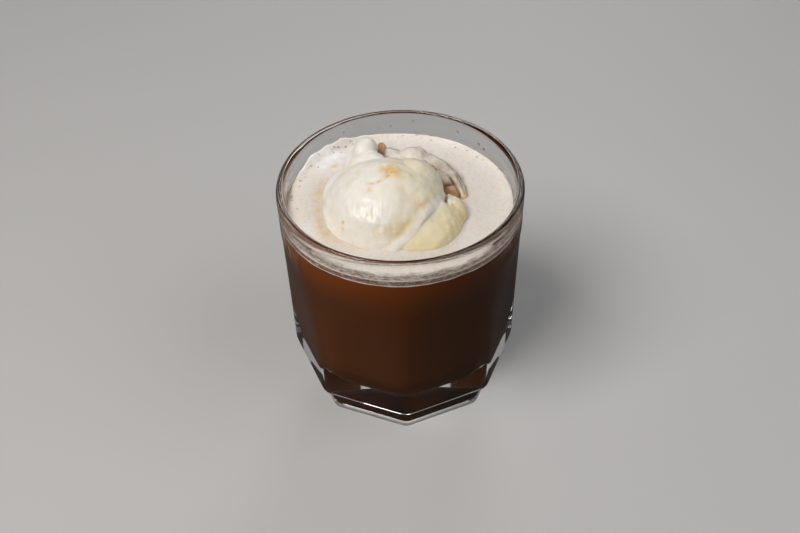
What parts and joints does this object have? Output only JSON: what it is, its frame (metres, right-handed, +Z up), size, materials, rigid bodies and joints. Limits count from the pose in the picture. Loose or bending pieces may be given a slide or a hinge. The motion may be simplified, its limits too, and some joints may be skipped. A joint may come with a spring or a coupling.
{
  "type": "affogato",
  "caption": "Scoop of vanilla ice cream floating in foamy milky coffee, served in a heavy eight-sided glass tumbler.",
  "frame": {"origin": "centre of the underside of the glass's foot", "axes": "+Z up, the way the glass stands; -Y toward the viewer, through one corner of the eight-sided foot"},
  "size_m": [0.084, 0.084, 0.0938],
  "materials": {
    "glass": "clear pressed glass, polished, slightly wavy",
    "coffee": "opaque milky coffee, darker to the right, wet gloss",
    "foam": "fine pale foam with small bubbles, satin",
    "ice_cream": "smooth melting vanilla ice cream, wet sheen, coffee stains"
  },
  "bodies": {
    "root": {"glass": "glass", "coffee": "coffee", "foam": "foam", "ice_cream": "ice_cream"}
  },
  "joints": []
}
